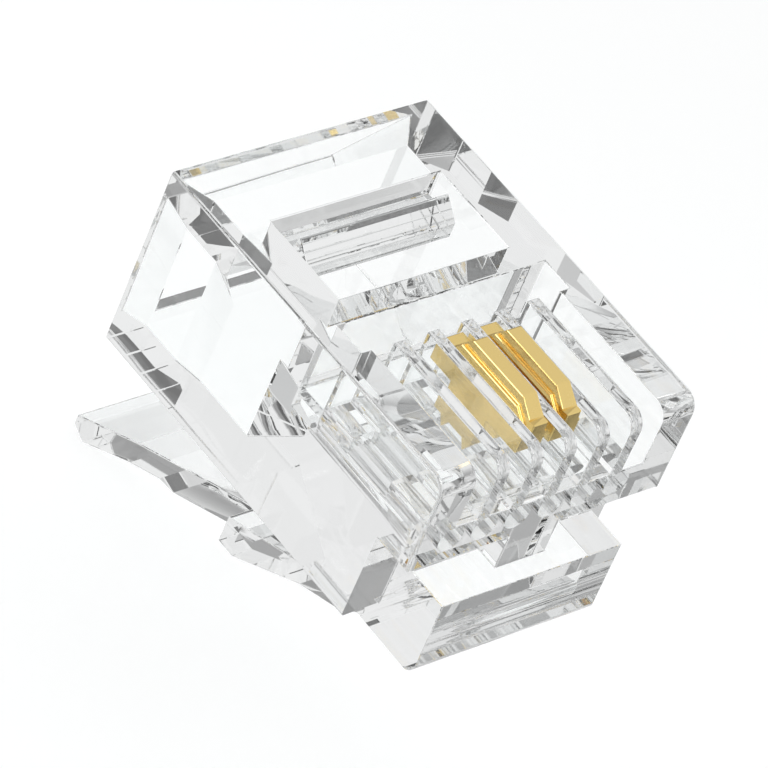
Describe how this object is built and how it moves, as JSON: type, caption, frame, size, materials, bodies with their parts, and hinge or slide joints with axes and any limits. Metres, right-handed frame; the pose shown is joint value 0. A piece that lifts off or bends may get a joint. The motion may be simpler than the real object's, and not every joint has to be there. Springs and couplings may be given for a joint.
{
  "type": "six position modular plug",
  "caption": "Clear modular telephone plug, uncrimped, with gold-plated blade contacts, sprung latch, cable anchor bar and open conductor slots",
  "frame": {"origin": "centre of the cable mouth on the rear face", "axes": "+Z the contact side, -Y the nose that enters the jack first, X across the plug"},
  "size_m": [0.0096, 0.016, 0.0144],
  "materials": {
    "clear_polycarbonate": "injection moulded clear polycarbonate with polished faces",
    "gold_plate": "gold plate over nickel on stamped phosphor bronze, smooth"
  },
  "bodies": {
    "plug_body": {"housing": "clear_polycarbonate"},
    "latch_arm": {"latch": "clear_polycarbonate"},
    "anchor_bar": {"cable_anchor_bar": "clear_polycarbonate"},
    "wire_bar": {"conductor_bar": "clear_polycarbonate"},
    "third_contact": {"contact_3": "gold_plate"},
    "fourth_contact": {"contact_4": "gold_plate"}
  },
  "joints": [
    {"name": "latch_press", "type": "hinge", "parent": "plug_body", "child": "latch_arm", "pos_m": [0, -0.01094, -0.00405], "axis": [1, 0, 0], "range_deg": [0, 20], "stiffness_Nm_per_rad": 0.002},
    {"name": "anchor_bar_crimp", "type": "hinge", "parent": "plug_body", "child": "anchor_bar", "pos_m": [0, -0.00267, 0.00219], "axis": [1, 0, 0], "range_deg": [0, 35]},
    {"name": "conductor_bar_crimp", "type": "slide", "parent": "plug_body", "child": "wire_bar", "axis": [0, 0, -1], "range_m": [0, 0.00045]},
    {"name": "contact_3_crimp", "type": "slide", "parent": "plug_body", "child": "third_contact", "axis": [0, 0, -1], "range_m": [0, 0.0011]},
    {"name": "contact_4_crimp", "type": "slide", "parent": "plug_body", "child": "fourth_contact", "axis": [0, 0, -1], "range_m": [0, 0.0011]}
  ]
}
